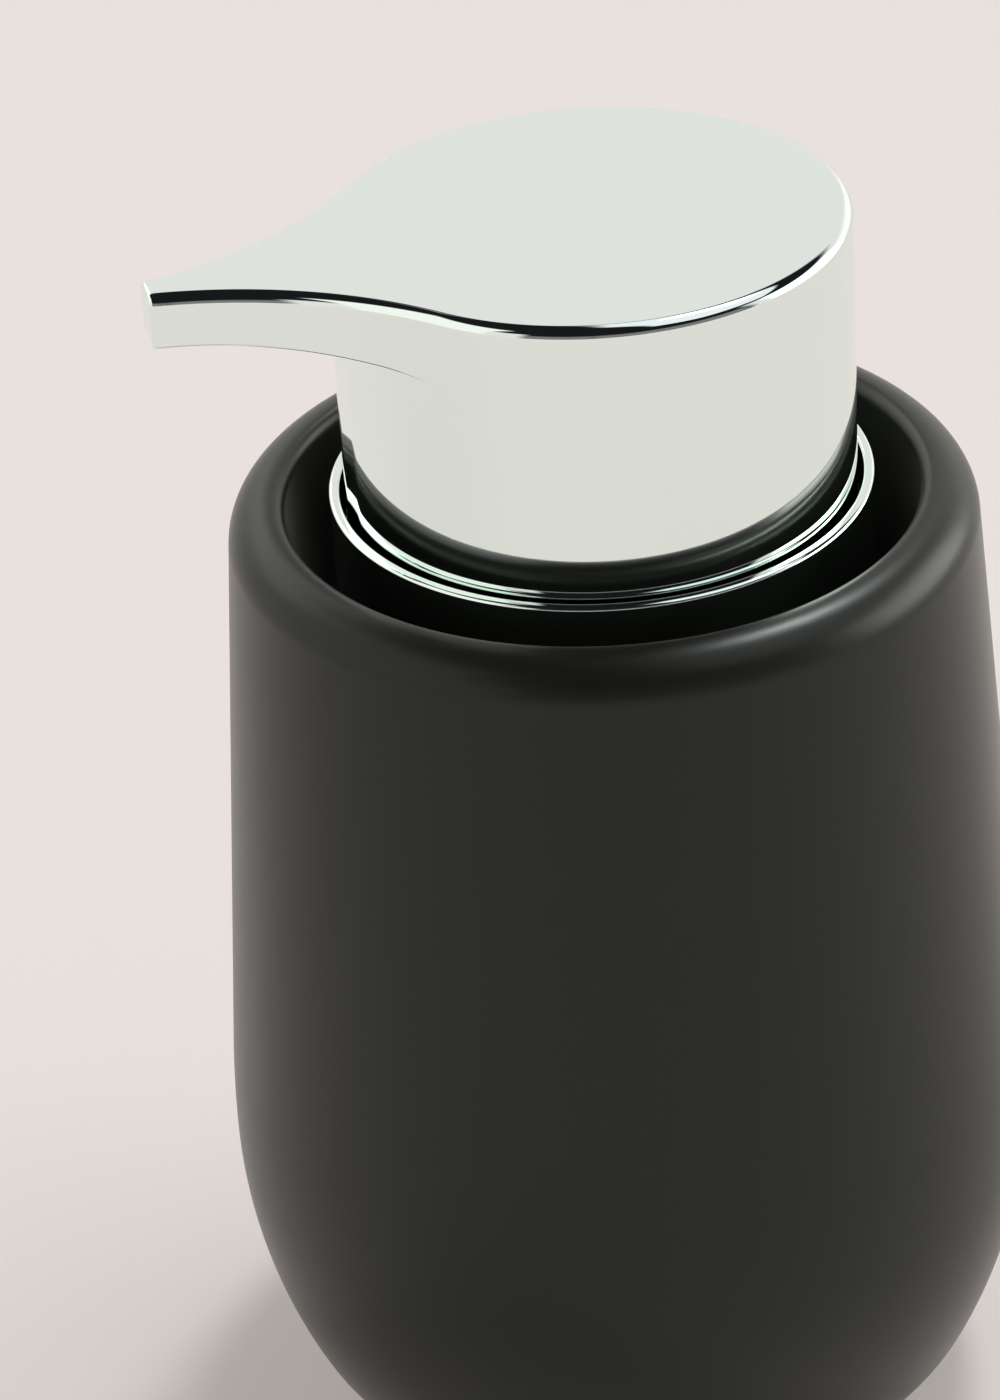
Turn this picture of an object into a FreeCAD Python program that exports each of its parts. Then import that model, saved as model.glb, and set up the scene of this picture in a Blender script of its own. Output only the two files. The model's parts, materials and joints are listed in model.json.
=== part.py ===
"""Soap pump dispenser: a ceramic bottle, a screw-on lotion pump and a chrome teardrop head.

Millimetres, +Z up.  The origin is the centre of the foot pad's underside, on the resting
surface, and the spout points along -X.  Every driving size is a cell of the sheet "Sizes".
Heights are built up from the foot, so a piece stands on the one that carries it.
"""
import FreeCAD, Part
import Sketcher
import math
import os

from FreeCAD import Placement, Rotation, Vector

SIZES = {
    # ceramic bottle
    "pad_proud": 0.6,
    "body_height": 101.6,
    "rim_radius": 31.5,
    "rim_outer_round": 4.3,
    "rim_inner_round": 1.3,
    "belly_radius": 40.8,
    "belly_height": 30.4,
    "belly_round": 120.0,
    "base_round": 14.0,
    "foot_inset": 17.4,
    "recess_depth": 18.2,
    "recess_round": 2.0,
    "mouth_radius": 15.0,
    "wall": 5.0,
    "floor_wall": 6.5,
    "cavity_low_inset": 2.8,
    "cavity_low_round": 9.0,
    "cavity_top_round": 4.0,
    "foot_ring_width": 4.4,
    "pad_recess_depth": 1.6,
    "pad_edge": 0.5,
    # glued neck insert
    "insert_depth": 10.0,
    "insert_bore": 10.5,
    "insert_lip": 18.0,
    "insert_lip_thickness": 2.0,
    "insert_seal_thickness": 0.8,
    "glue_gap": 0.1,
    "neck_radius": 13.4,
    "neck_length": 9.5,
    # pump housing and what stacks on the neck
    "gasket_thickness": 1.0,
    "housing_lip_radius": 13.2,
    "housing_lip_thickness": 1.2,
    "barrel_bore": 7.5,
    "barrel_wall": 1.2,
    "barrel_depth": 41.9,
    "housing_rise": 1.6,
    "vent_radius": 0.6,
    "vent_drop": 10.5,
    "valve_bore": 4.0,
    "valve_wall": 1.4,
    "valve_depth": 5.1,
    "throat_radius": 2.0,
    "throat_length": 2.5,
    "tube_radius": 3.2,
    "tube_wall": 0.9,
    "tube_socket": 10.0,
    "tube_floor_gap": 2.4,
    "cage_thickness": 1.8,
    "cage_stop_radius": 2.6,
    "cage_slot_outer": 5.8,
    "cage_slot_width": 2.4,
    "inlet_ball_radius": 3.0,
    # closure and chrome collar
    "closure_bore": 14.0,
    "closure_wall": 2.0,
    "closure_plate": 1.3,
    "closure_rib": 0.5,
    "collar_proud": 0.8,
    "skirt_gap": 0.5,
    "collar_wall": 1.1,
    "collar_lip_round": 0.35,
    "collar_floor_wall": 1.4,
    "collar_hub_wall": 1.2,
    "collar_hub_height": 6.0,
    "guide_lip_radius": 11.2,
    "guide_lip_thickness": 1.0,
    "guide_bearing_length": 5.0,
    # stem, piston and spring
    "press_stroke": 10.0,
    "stem_radius": 4.0,
    "stem_bore": 2.3,
    "stem_foot_radius": 3.0,
    "stem_foot_length": 8.7,
    "stem_throat_radius": 1.6,
    "stem_throat_length": 1.5,
    "stem_valve_bore": 2.95,
    "stem_valve_depth": 4.3,
    "stem_seat": 8.9,
    "outlet_ball_radius": 2.5,
    "piston_length": 8.6,
    "piston_hub_wall": 1.5,
    "piston_sleeve_wall": 0.7,
    "piston_lip": 0.25,
    "piston_web": 2.0,
    "retainer_lip_radius": 6.4,
    "retainer_lip_thickness": 1.6,
    "retainer_nose_radius": 4.6,
    "retainer_nose_length": 2.2,
    "retainer_plug_length": 6.5,
    "retainer_bore": 1.2,
    "spring_wire": 0.45,
    "spring_radius": 5.6,
    "spring_turns": 6.5,
    # chrome head
    "head_radius": 24.3,
    "head_rise": 27.0,
    "head_wall": 1.4,
    "head_top_wall": 1.6,
    "head_edge_round": 1.1,
    "skirt_overlap": 3.5,
    "skirt_edge_round": 0.3,
    "spout_reach": 41.6,
    "spout_tip_half": 2.1,
    "spout_side_round": 39.0,
    "spout_tip_depth": 5.3,
    "spout_root_depth": 7.2,
    "spout_belly_round": 120.0,
    "spout_duct_depth": 6.6,
    "spout_tip_round": 0.4,
    "spout_wall": 0.7,
    "spout_root": 19.0,
    "insert_inset": 0.25,
    "channel_radius": 0.9,
    "channel_wall": 0.4,
    "channel_drop": 3.15,
    "channel_plug": 2.0,
    "nozzle_back": 5.2,
    "nozzle_proud": 0.8,
    "hub_wall": 2.2,
    "core_ring_wall": 1.4,
    "core_ring_height": 5.5,
    "core_rib_wall": 1.2,
    # clearances
    "running_gap": 0.3,
    "fit_gap": 0.05,
    "seat_gap": 0.1,
    "ball_gap": 0.2,
}
SHEET = "Sizes"
RIB_COUNT = 6
GRIP_COUNT = 12
CAGE_SLOTS = 3


class Size:
    """A length that knows its value and the sheet expression that gives it."""

    def __init__(self, value, text):
        self.value = value
        self.text = text

    @staticmethod
    def of(number):
        if isinstance(number, Size):
            return number
        return Size(float(number), repr(float(number)))

    def _with(self, other, sign, value):
        return Size(value, f"({self.text} {sign} {other.text})")

    def __add__(self, other):
        other = Size.of(other)
        return self._with(other, "+", self.value + other.value)

    def __sub__(self, other):
        other = Size.of(other)
        return self._with(other, "-", self.value - other.value)

    def __mul__(self, other):
        other = Size.of(other)
        return self._with(other, "*", self.value * other.value)

    def __truediv__(self, other):
        other = Size.of(other)
        return self._with(other, "/", self.value / other.value)

    def __neg__(self):
        return Size(-self.value, f"(-1 * {self.text})")


class Cells:
    """The sheet's cells as sizes, one attribute for each alias."""

    def __init__(self, sizes):
        for alias, value in sizes.items():
            setattr(self, alias, Size(value, f"{SHEET}.{alias}"))


S = Cells(SIZES)
ZERO = Size.of(0.0)

# Levels, from the resting surface up
FOOT = S.pad_proud
RIM_TOP = FOOT + S.body_height
RECESS_FLOOR = RIM_TOP - S.recess_depth
INSERT_LIP_TOP = RECESS_FLOOR + S.insert_seal_thickness + S.insert_lip_thickness
NECK_TOP = INSERT_LIP_TOP + S.neck_length
HOUSING_LIP_BASE = NECK_TOP + S.gasket_thickness
HOUSING_LIP_TOP = HOUSING_LIP_BASE + S.housing_lip_thickness
CLOSURE_TOP = HOUSING_LIP_TOP + S.closure_plate
HOUSING_TOP = HOUSING_LIP_TOP + S.housing_rise
GUIDE_TOP = HOUSING_TOP + S.guide_lip_thickness
BARREL_FLOOR = HOUSING_LIP_TOP - S.barrel_depth
VALVE_FLOOR = BARREL_FLOOR - S.valve_depth
SEAT_FLOOR = VALVE_FLOOR - (S.valve_bore - S.throat_radius)
SOCKET_TOP = SEAT_FLOOR - S.throat_length
SOCKET_BASE = SOCKET_TOP - S.tube_socket
CAVITY_FLOOR = FOOT + S.floor_wall
COLLAR_TOP = RIM_TOP + S.collar_proud
COLLAR_FLOOR = INSERT_LIP_TOP + S.running_gap
HEAD_TOP = COLLAR_TOP + S.head_rise
SKIRT_BASE = COLLAR_TOP - S.skirt_overlap
HEAD_CEILING = HEAD_TOP - S.head_top_wall
DUCT_FLOOR = HEAD_TOP - S.spout_duct_depth
HUB_BASE = GUIDE_TOP + S.press_stroke + S.running_gap
STEM_TOP = HUB_BASE + S.stem_seat
STEM_VALVE_FLOOR = STEM_TOP - S.stem_valve_depth
STEM_SEAT_FLOOR = STEM_VALVE_FLOOR - (S.stem_valve_bore - S.stem_throat_radius)
CAGE_TOP = BARREL_FLOOR + S.cage_thickness
SPRING_BASE = CAGE_TOP + S.seat_gap

# Radii that two pieces share
CONTACT_RADIUS = S.belly_radius - S.foot_inset
PAD_RADIUS = CONTACT_RADIUS - S.foot_ring_width
BARREL_RADIUS = S.barrel_bore + S.barrel_wall
CLOSURE_RADIUS = S.closure_bore + S.closure_wall
COLLAR_BORE = S.head_radius + S.skirt_gap
COLLAR_RADIUS = COLLAR_BORE + S.collar_wall
SKIRT_BORE = S.head_radius - S.head_wall
HUB_RADIUS = S.stem_radius + S.fit_gap + S.hub_wall
CHANNEL_LEVEL = HEAD_TOP - S.channel_drop
CHANNEL_TUBE = S.channel_radius + S.channel_wall
NOZZLE_X = S.nozzle_back - S.spout_reach
NOZZLE_RADIUS = S.spout_tip_half - S.spout_wall - S.seat_gap

# The plunger hangs from the stem guide: the piston's top stops against the guide's end
GUIDE_END = HOUSING_LIP_TOP - S.closure_plate - S.stem_foot_length
PISTON_TOP = GUIDE_END - S.running_gap
PISTON_BASE = PISTON_TOP - S.piston_length
STEM_SHOULDER = PISTON_TOP + S.fit_gap
STEM_BASE = STEM_SHOULDER - S.stem_foot_length
RETAINER_BASE = STEM_BASE - S.retainer_lip_thickness
SPRING_TOP = RETAINER_BASE - S.seat_gap

doc = FreeCAD.newDocument("SoapPump")
pieces = []


# ---------------------------------------------------------------- drawing helpers


def make_sheet():
    """Write every driving size into the sheet, each under its alias."""
    sheet = doc.addObject("Spreadsheet::Sheet", SHEET)
    for row, (alias, value) in enumerate(SIZES.items(), start=1):
        sheet.set(f"A{row}", alias.replace("_", " "))
        sheet.set(f"B{row}", str(value))
        sheet.setAlias(f"B{row}", alias)
    doc.recompute()


def new_body(name):
    """A sub-part: its label names its file."""
    body = doc.addObject("PartDesign::Body", "Body_" + name)
    body.Label = name
    pieces.append(body)
    return body


def new_sketch(body, name, plane, level=None):
    """A sketch on one of the body's own origin planes, lifted to a level along its normal."""
    sketch = body.newObject("Sketcher::SketchObject", f"{body.Label}_{name}")
    origin_plane = next(f for f in body.Origin.OriginFeatures if f.Role == plane)
    sketch.AttachmentSupport = [(origin_plane, "")]
    sketch.MapMode = "FlatFace"
    if level is not None:
        sketch.AttachmentOffset = Placement(Vector(0, 0, level.value), Rotation())
        sketch.setExpression("AttachmentOffset.Base.z", level.text)
    return sketch


def bind(sketch, constraint, size):
    """Add a dimension and tie it to the sheet."""
    index = sketch.addConstraint(constraint)
    sketch.setExpression(f"Constraints[{index}]", size.text)


def hold_x(sketch, geo, point, x):
    if x.value == 0:
        sketch.addConstraint(Sketcher.Constraint("PointOnObject", geo, point, -2))
    else:
        bind(sketch, Sketcher.Constraint("DistanceX", -1, 1, geo, point, x.value), x)


def hold_y(sketch, geo, point, y):
    if y.value == 0:
        sketch.addConstraint(Sketcher.Constraint("PointOnObject", geo, point, -1))
    else:
        bind(sketch, Sketcher.Constraint("DistanceY", -1, 1, geo, point, y.value), y)


def draw_corners(sketch, corners):
    """A closed outline of straight lines through corners given as pairs of sizes."""
    corners = [(Size.of(x), Size.of(y)) for x, y in corners]
    first = sketch.GeometryCount
    count = len(corners)
    for i, (x, y) in enumerate(corners):
        end_x, end_y = corners[(i + 1) % count]
        start = Vector(x.value, y.value, 0)
        sketch.addGeometry(Part.LineSegment(start, Vector(end_x.value, end_y.value, 0)))
    for i in range(count):
        following = first + (i + 1) % count
        sketch.addConstraint(Sketcher.Constraint("Coincident", first + i, 2, following, 1))
    for i, (x, y) in enumerate(corners):
        if i and x.text == corners[i - 1][0].text and x.value:
            sketch.addConstraint(Sketcher.Constraint("Vertical", first + i - 1))
        else:
            hold_x(sketch, first + i, 1, x)
        if i and y.text == corners[i - 1][1].text and y.value:
            sketch.addConstraint(Sketcher.Constraint("Horizontal", first + i - 1))
        else:
            hold_y(sketch, first + i, 1, y)


def draw_circle(sketch, x, y, radius):
    x, y = Size.of(x), Size.of(y)
    centre = Vector(x.value, y.value, 0)
    geo = sketch.addGeometry(Part.Circle(centre, Vector(0, 0, 1), radius.value))
    hold_x(sketch, geo, 3, x)
    hold_y(sketch, geo, 3, y)
    bind(sketch, Sketcher.Constraint("Radius", geo, radius.value), radius)


def arc(centre_x, centre_y, radius, start, end):
    """A circular arc, its angles in radians, counter-clockwise from start to end."""
    circle = Part.Circle(Vector(centre_x, centre_y, 0), Vector(0, 0, 1), radius)
    return Part.ArcOfCircle(circle, start, end)


def tangent(sketch, first, first_point, second, second_point):
    sketch.addConstraint(
        Sketcher.Constraint("Tangent", first, first_point, second, second_point)
    )


def turned(body, name, corners):
    """Revolve a half section about Z.  Corners are (radius, height) pairs."""
    sketch = new_sketch(body, name + "Section", "XZ_Plane")
    draw_corners(sketch, corners)
    return revolve(body, name, sketch)


def revolve(body, name, sketch, kind="PartDesign::Revolution"):
    feature = body.newObject(kind, f"{body.Label}_{name}")
    feature.Profile = sketch
    feature.ReferenceAxis = (sketch, ["V_Axis"])
    feature.Angle = 360
    doc.recompute()
    return feature


def groove(body, name, corners):
    """Turn a hollow out of the body."""
    sketch = new_sketch(body, name + "Section", "XZ_Plane")
    draw_corners(sketch, corners)
    before = body.Shape.Volume
    feature = revolve(body, name, sketch, "PartDesign::Groove")
    check_cut(body, name, before)
    return feature


def check_cut(body, name, before):
    if body.Shape.Volume >= before - 1e-3:
        raise RuntimeError(f"{body.Label}: {name} cuts nothing")


def pad(body, name, sketch, length, reverse=False, both=False):
    feature = body.newObject("PartDesign::Pad", f"{body.Label}_{name}")
    feature.Profile = sketch
    feature.setExpression("Length", length.text)
    feature.Reversed = reverse
    feature.Midplane = both
    doc.recompute()
    return feature


def pocket(body, name, sketch, length, reverse=False, both=False):
    """Cut along the sketch's normal when reversed, against it otherwise."""
    before = body.Shape.Volume
    feature = body.newObject("PartDesign::Pocket", f"{body.Label}_{name}")
    feature.Profile = sketch
    feature.setExpression("Length", length.text)
    feature.Reversed = reverse
    feature.Midplane = both
    doc.recompute()
    check_cut(body, name, before)
    return feature


def polar(body, name, feature, count):
    """Repeat a feature round Z and make the pattern count."""
    pattern = body.newObject("PartDesign::PolarPattern", f"{body.Label}_{name}")
    pattern.Originals = [feature]
    axis = next(f for f in body.Origin.OriginFeatures if f.Role == "Z_Axis")
    pattern.Axis = (axis, [""])
    pattern.Angle = 360
    pattern.Occurrences = count
    body.Tip = pattern
    doc.recompute()
    return pattern


def ring_edges(feature, rings):
    """The full circles about Z at the given (radius, height) pairs."""
    names = []
    for radius, height in rings:
        radius, height = Size.of(radius), Size.of(height)
        for i, edge in enumerate(feature.Shape.Edges, start=1):
            if not isinstance(edge.Curve, Part.Circle):
                continue
            centre = edge.Curve.Center
            near_axis = math.hypot(centre.x, centre.y) < 1e-4
            same_height = abs(centre.z - height.value) < 1e-4
            if near_axis and same_height and abs(edge.Curve.Radius - radius.value) < 1e-4:
                names.append(f"Edge{i}")
    if len(names) < len(rings):
        raise RuntimeError(f"{feature.Name}: an edge to round is missing")
    return names


def dress(body, name, feature, edges, size, kind="PartDesign::Fillet"):
    """Round or chamfer edges of a feature."""
    dressing = body.newObject(kind, f"{body.Label}_{name}")
    dressing.Base = (feature, edges)
    prop = "Radius" if kind.endswith("Fillet") else "Size"
    dressing.setExpression(prop, size.text)
    doc.recompute()
    return dressing


# ---------------------------------------------------------------- bottle


def draw_bottle_form(sketch):
    """Half section of the solid form: base, corner, belly, taper, rolled rim and recess."""
    corner = S.base_round.value
    base_z = FOOT.value
    corner_x = CONTACT_RADIUS.value
    belly_z = (FOOT + S.belly_height).value
    rise = belly_z - base_z - corner
    spread = S.belly_radius.value - corner_x
    low_round = (spread**2 + rise**2 - corner**2) / (2 * (spread - corner))
    low_x = S.belly_radius.value - low_round
    turn = math.asin(rise / (low_round - corner))
    belly_x = S.belly_radius.value - S.belly_round.value
    rim_x, rim_z = S.rim_radius.value, RIM_TOP.value
    outer, inner = S.rim_outer_round.value, S.rim_inner_round.value
    across = Vector(rim_x - belly_x, rim_z - outer - belly_z, 0)
    lean = math.atan2(across.y, across.x)
    lean -= math.acos((S.belly_round.value - outer) / across.Length)
    taper = Vector(math.cos(lean), math.sin(lean), 0)
    taper_foot = Vector(belly_x, belly_z, 0) + taper * S.belly_round.value
    taper_head = Vector(rim_x, rim_z - outer, 0) + taper * outer
    floor_z = RECESS_FLOOR.value
    axis, base, foot, low, belly, side, shoulder, lip, wall, floor = range(10)
    sketch.addGeometry([
        Part.LineSegment(Vector(0, floor_z, 0), Vector(0, base_z, 0)),
        Part.LineSegment(Vector(0, base_z, 0), Vector(corner_x, base_z, 0)),
        arc(corner_x, base_z + corner, corner, -math.pi / 2, -turn),
        arc(low_x, belly_z, low_round, -turn, 0),
        arc(belly_x, belly_z, S.belly_round.value, 0, lean),
        Part.LineSegment(taper_foot, taper_head),
        arc(rim_x, rim_z - outer, outer, lean, math.pi / 2),
        arc(rim_x, rim_z - inner, inner, math.pi / 2, math.pi),
        Part.LineSegment(Vector(rim_x - inner, rim_z - inner, 0), Vector(rim_x - inner, floor_z, 0)),
        Part.LineSegment(Vector(rim_x - inner, floor_z, 0), Vector(0, floor_z, 0)),
    ])
    for first, second in ((axis, base), (wall, floor), (floor, axis)):
        sketch.addConstraint(Sketcher.Constraint("Coincident", first, 2, second, 1))
    for first, second in ((base, foot), (foot, low), (low, belly), (belly, side),
                          (side, shoulder), (shoulder, lip), (lip, wall)):
        tangent(sketch, first, 2, second, 1)
    sketch.addConstraint([
        Sketcher.Constraint("PointOnObject", axis, 1, -2),
        Sketcher.Constraint("PointOnObject", axis, 2, -2),
        Sketcher.Constraint("Horizontal", base),
        Sketcher.Constraint("Horizontal", floor),
        Sketcher.Constraint("Horizontal", belly, 3, belly, 1),
        Sketcher.Constraint("Vertical", wall),
    ])
    hold_y(sketch, base, 1, FOOT)
    hold_x(sketch, base, 2, CONTACT_RADIUS)
    hold_x(sketch, low, 2, S.belly_radius)
    hold_y(sketch, low, 2, FOOT + S.belly_height)
    hold_x(sketch, shoulder, 2, S.rim_radius)
    hold_y(sketch, shoulder, 2, RIM_TOP)
    hold_y(sketch, floor, 1, RECESS_FLOOR)
    for geo, radius in ((foot, S.base_round), (belly, S.belly_round),
                        (shoulder, S.rim_outer_round), (lip, S.rim_inner_round)):
        bind(sketch, Sketcher.Constraint("Radius", geo, radius.value), radius)


def ceramic_bottle():
    """Slip-cast bottle: rolled rim round a deep recess, mouth, cavity and foot recess."""
    body = new_body("ceramic_bottle")
    sketch = new_sketch(body, "FormSection", "XZ_Plane")
    draw_bottle_form(sketch)
    form = revolve(body, "Form", sketch)
    recess = RIM_TOP - S.rim_inner_round
    floor_ring = [(S.rim_radius - S.rim_inner_round, RECESS_FLOOR)]
    dress(body, "RecessRound", form, ring_edges(form, floor_ring), S.recess_round)
    belly = S.belly_radius - S.wall
    top = S.rim_radius + S.rim_outer_round - S.wall
    roof = RECESS_FLOOR - S.wall
    low_corner = belly - S.cavity_low_inset
    hollow = groove(body, "Cavity", [
        (0, CAVITY_FLOOR), (low_corner, CAVITY_FLOOR), (belly, FOOT + S.belly_height),
        (top, roof), (S.mouth_radius, roof), (S.mouth_radius, recess), (0, recess),
    ])
    low = ring_edges(hollow, [(low_corner, CAVITY_FLOOR)])
    hollow = dress(body, "CavityLowRound", hollow, low, S.cavity_low_round)
    high = ring_edges(hollow, [(top, roof)])
    hollow = dress(body, "CavityTopRound", hollow, high, S.cavity_top_round)
    pad_top = FOOT + S.pad_recess_depth
    groove(body, "PadRecess", [
        (0, FOOT), (PAD_RADIUS, FOOT), (PAD_RADIUS, pad_top), (0, pad_top),
    ])


def foot_pad():
    """Soft disc glued into the foot recess, a little proud of the ceramic."""
    body = new_body("foot_pad")
    radius = PAD_RADIUS - S.running_gap
    top = FOOT + S.pad_recess_depth
    disc = turned(body, "Disc", [(0, 0), (radius, 0), (radius, top), (0, top)])
    edge = ring_edges(disc, [(radius, 0)])
    dress(body, "Edge", disc, edge, S.pad_edge, "PartDesign::Chamfer")


def neck_insert():
    """Plastic neck glued into the ceramic mouth.  The closure screws onto it."""
    body = new_body("neck_insert")
    outer = S.mouth_radius - S.glue_gap
    lip_base = RECESS_FLOOR + S.insert_seal_thickness
    base = RECESS_FLOOR - S.insert_depth
    neck = turned(body, "Neck", [
        (S.insert_bore, base), (outer, base), (outer, lip_base), (S.insert_lip, lip_base),
        (S.insert_lip, INSERT_LIP_TOP), (S.neck_radius, INSERT_LIP_TOP),
        (S.neck_radius, NECK_TOP), (S.insert_bore, NECK_TOP),
    ])
    edges = ring_edges(neck, [(S.neck_radius, NECK_TOP), (S.insert_lip, INSERT_LIP_TOP)])
    dress(body, "Edge", neck, edges, S.pad_edge, "PartDesign::Chamfer")


def washer(name, bore, radius, base, thickness):
    """A flat ring."""
    body = new_body(name)
    top = base + thickness
    turned(body, "Ring", [(bore, base), (radius, base), (radius, top), (bore, top)])


# ---------------------------------------------------------------- pump


def pump_housing():
    """Pump barrel with its lip, ball seat and dip-tube socket, and a vent through its wall."""
    body = new_body("pump_housing")
    valve_outer = S.valve_bore + S.valve_wall
    socket_bore = S.tube_radius + S.fit_gap
    socket_outer = socket_bore + S.valve_wall
    shoulder = BARREL_FLOOR - S.valve_wall
    cone = shoulder - (BARREL_RADIUS - valve_outer)
    neck = SEAT_FLOOR - S.throat_length / 2
    turned(body, "Barrel", [
        (socket_bore, SOCKET_BASE), (socket_outer, SOCKET_BASE), (socket_outer, neck),
        (valve_outer, neck + (valve_outer - socket_outer)), (valve_outer, cone),
        (BARREL_RADIUS, shoulder), (BARREL_RADIUS, HOUSING_LIP_BASE),
        (S.housing_lip_radius, HOUSING_LIP_BASE), (S.housing_lip_radius, HOUSING_LIP_TOP),
        (BARREL_RADIUS, HOUSING_LIP_TOP), (BARREL_RADIUS, HOUSING_TOP),
        (S.barrel_bore, HOUSING_TOP), (S.barrel_bore, BARREL_FLOOR),
        (S.valve_bore, BARREL_FLOOR), (S.valve_bore, VALVE_FLOOR),
        (S.throat_radius, SEAT_FLOOR), (S.throat_radius, SOCKET_TOP),
        (socket_bore, SOCKET_TOP),
    ])
    vent = new_sketch(body, "VentSection", "YZ_Plane")
    draw_circle(vent, 0, HOUSING_LIP_BASE - S.vent_drop, S.vent_radius)
    pocket(body, "Vent", vent, BARREL_RADIUS + S.running_gap, reverse=True)


def stem_guide():
    """Guide snapped into the barrel's mouth: it traps the closure and bears the stem."""
    body = new_body("stem_guide")
    sleeve = S.barrel_bore - S.fit_gap
    bearing = S.stem_radius + S.fit_gap
    relief = bearing + S.fit_gap * 10
    bearing_base = GUIDE_TOP - S.guide_bearing_length
    guide = turned(body, "Guide", [
        (relief, GUIDE_END), (sleeve, GUIDE_END), (sleeve, HOUSING_TOP),
        (S.guide_lip_radius, HOUSING_TOP), (S.guide_lip_radius, GUIDE_TOP),
        (bearing, GUIDE_TOP), (bearing, bearing_base), (relief, bearing_base),
    ])
    edge = ring_edges(guide, [(S.guide_lip_radius, GUIDE_TOP)])
    dress(body, "Edge", guide, edge, S.skirt_edge_round)


def valve_cage():
    """Disc under the spring: its middle stops the inlet ball, its slots pass the soap."""
    body = new_body("valve_cage")
    radius = S.barrel_bore - S.fit_gap
    turned(body, "Disc", [
        (0, BARREL_FLOOR), (radius, BARREL_FLOOR), (radius, CAGE_TOP), (0, CAGE_TOP),
    ])
    sketch = new_sketch(body, "SlotSection", "XY_Plane", BARREL_FLOOR)
    half = S.cage_slot_width / 2
    draw_corners(sketch, [
        (S.cage_stop_radius, -half), (S.cage_slot_outer, -half),
        (S.cage_slot_outer, half), (S.cage_stop_radius, half),
    ])
    slot = pocket(body, "Slot", sketch, S.cage_thickness, reverse=True)
    polar(body, "Slots", slot, CAGE_SLOTS)


def dip_tube():
    """Tube from the housing's socket down to the cavity floor, cut off at a slant."""
    body = new_body("dip_tube")
    bore = S.tube_radius - S.tube_wall
    base = CAVITY_FLOOR + S.tube_floor_gap
    top = SOCKET_TOP - S.seat_gap
    turned(body, "Tube", [
        (bore, base), (S.tube_radius, base), (S.tube_radius, top), (bore, top),
    ])
    sketch = new_sketch(body, "CutSection", "XZ_Plane")
    draw_corners(sketch, [
        (-S.tube_radius, base), (S.tube_radius, base), (S.tube_radius, base + S.tube_radius * 2),
    ])
    pocket(body, "SlantCut", sketch, S.tube_radius * 3, both=True)


def ball(name, radius, seat_floor, throat):
    """A valve ball just clear of its 45 degree seat."""
    body = new_body(name)
    lift = radius * math.sqrt(2.0) - throat
    centre = seat_floor + lift + S.ball_gap
    sketch = new_sketch(body, "HalfCircle", "XZ_Plane")
    top = centre.value + radius.value
    bottom = centre.value - radius.value
    sketch.addGeometry([
        arc(0, centre.value, radius.value, -math.pi / 2, math.pi / 2),
        Part.LineSegment(Vector(0, top, 0), Vector(0, bottom, 0)),
    ])
    sketch.addConstraint([
        Sketcher.Constraint("Coincident", 0, 2, 1, 1),
        Sketcher.Constraint("Coincident", 1, 2, 0, 1),
        Sketcher.Constraint("PointOnObject", 0, 3, -2),
        Sketcher.Constraint("PointOnObject", 1, 1, -2),
        Sketcher.Constraint("PointOnObject", 1, 2, -2),
    ])
    hold_y(sketch, 0, 3, centre)
    bind(sketch, Sketcher.Constraint("Radius", 0, radius.value), radius)
    revolve(body, "Ball", sketch)


def return_spring():
    """Compression spring between the valve cage and the piston retainer."""
    body = new_body("return_spring")
    sketch = new_sketch(body, "WireSection", "XZ_Plane")
    base = SPRING_BASE + S.spring_wire
    draw_circle(sketch, S.spring_radius, base, S.spring_wire)
    helix = body.newObject("PartDesign::AdditiveHelix", "return_spring_Coil")
    helix.Profile = sketch
    helix.ReferenceAxis = (sketch, ["V_Axis"])
    helix.Mode = "height-turns-angle"
    height = SPRING_TOP - SPRING_BASE - S.spring_wire * 2
    helix.setExpression("Height", height.text)
    helix.setExpression("Turns", S.spring_turns.text)
    doc.recompute()


# ---------------------------------------------------------------- closure and collar


def screw_closure():
    """Inner screw cap: it clamps the housing's lip down on the neck."""
    body = new_body("screw_closure")
    base = INSERT_LIP_TOP + S.running_gap * 2
    hole = BARREL_RADIUS + S.running_gap
    cap = turned(body, "Cap", [
        (S.closure_bore, base), (CLOSURE_RADIUS, base), (CLOSURE_RADIUS, CLOSURE_TOP),
        (hole, CLOSURE_TOP), (hole, HOUSING_LIP_TOP), (S.closure_bore, HOUSING_LIP_TOP),
    ])
    edge = ring_edges(cap, [(CLOSURE_RADIUS, CLOSURE_TOP)])
    dress(body, "Edge", cap, edge, S.skirt_edge_round)
    sketch = new_sketch(body, "GripSection", "XY_Plane", COLLAR_FLOOR + S.collar_hub_height)
    inner = CLOSURE_RADIUS - S.closure_rib
    outer = CLOSURE_RADIUS + S.closure_rib
    draw_corners(sketch, [
        (inner, -S.closure_rib), (outer, -S.closure_rib), (outer, S.closure_rib),
        (inner, S.closure_rib),
    ])
    length = CLOSURE_TOP - S.closure_rib - COLLAR_FLOOR - S.collar_hub_height
    grip = pad(body, "Grip", sketch, length)
    polar(body, "Grips", grip, GRIP_COUNT)


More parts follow.
